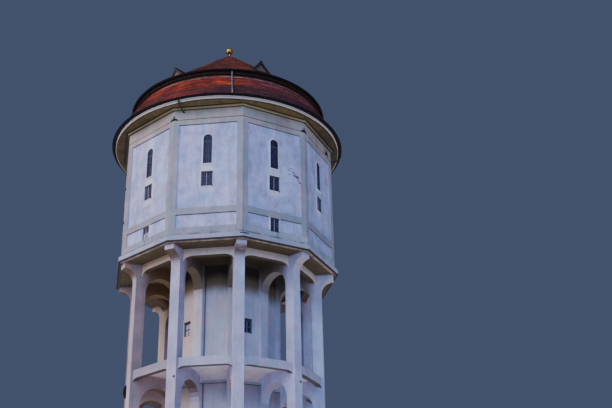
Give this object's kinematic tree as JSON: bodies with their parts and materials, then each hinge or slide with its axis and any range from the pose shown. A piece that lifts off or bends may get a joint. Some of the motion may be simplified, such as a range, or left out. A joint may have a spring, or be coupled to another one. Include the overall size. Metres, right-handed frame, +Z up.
{
  "type": "ten-sided concrete water tower",
  "caption": "Ten-sided plastered water tower: a tank house with a two-tier tiled roof on slender piers, round a stair shaft with open galleries.",
  "frame": {"origin": "on the tower's axis at ground level", "axes": "+Z up along the tower's axis, -Y through the pier on corner 0, which faces the picture's camera best"},
  "size_m": [13.5006, 13.5006, 36.58],
  "materials": {
    "wall_plaster": "weathered lime plaster, off-white, mottled",
    "pier_plaster": "weathered lime plaster, off-white with a lilac cast",
    "concrete": "board-marked concrete, limewashed and stained",
    "moulding": "olive-beige plaster moulding",
    "eaves_boards": "light grey painted fascia with a dark boarded soffit",
    "gutter_metal": "near-black weathered paint",
    "pipe_metal": "light grey weathered zinc paint",
    "red_tiles": "fired clay tiles, orange-red with dark and mossy patches",
    "brown_tiles": "old clay tiles, brown-red with olive lichen",
    "dark_boards": "dark tarred boards",
    "gilding": "gilded, lightly tarnished",
    "window_glass": "dark dusty panes in light painted bars",
    "door_boards": "weathered brown boards"
  },
  "bodies": {
    "root": {"pier_1": "pier_plaster", "pier_2": "pier_plaster", "pier_3": "pier_plaster", "pier_4": "pier_plaster", "pier_5": "pier_plaster", "pier_6": "pier_plaster", "pier_7": "pier_plaster", "pier_8": "pier_plaster", "pier_9": "pier_plaster", "pier_10": "pier_plaster", "shaft_wall_1": "pier_plaster", "shaft_wall_2": "pier_plaster", "shaft_wall_3": "pier_plaster", "shaft_wall_4": "pier_plaster", "shaft_wall_5": "pier_plaster", "shaft_windows_1": "window_glass", "shaft_windows_2": "window_glass", "shaft_windows_3": "window_glass", "ground_floor": "concrete", "entrance_door": "door_boards", "gallery_1": "concrete", "gallery_2": "concrete", "gallery_3": "concrete", "tank_floor": "concrete", "tank_wall_1": "wall_plaster", "tank_wall_2": "wall_plaster", "tank_wall_3": "wall_plaster", "tank_wall_4": "wall_plaster", "tank_wall_5": "wall_plaster", "tank_wall_6": "wall_plaster", "tank_wall_7": "wall_plaster", "tank_wall_8": "wall_plaster", "tank_wall_9": "wall_plaster", "tank_wall_10": "wall_plaster", "tank_windows_upper": "window_glass", "tank_windows_low": "window_glass", "tank_cornice": "moulding", "eaves": "eaves_boards", "lower_gutter": "gutter_metal", "gutter_outlet_1": "gutter_metal", "gutter_outlet_2": "gutter_metal", "gutter_outlet_3": "gutter_metal", "lower_roof": "red_tiles", "upper_eaves": "dark_boards", "upper_gutter": "gutter_metal", "upper_roof": "brown_tiles", "dormer_1": "brown_tiles", "dormer_2": "brown_tiles", "dormer_3": "brown_tiles", "dormer_4": "brown_tiles", "dormer_5": "brown_tiles", "finial": "gilding", "roof_downpipe": "pipe_metal"}
  },
  "joints": []
}
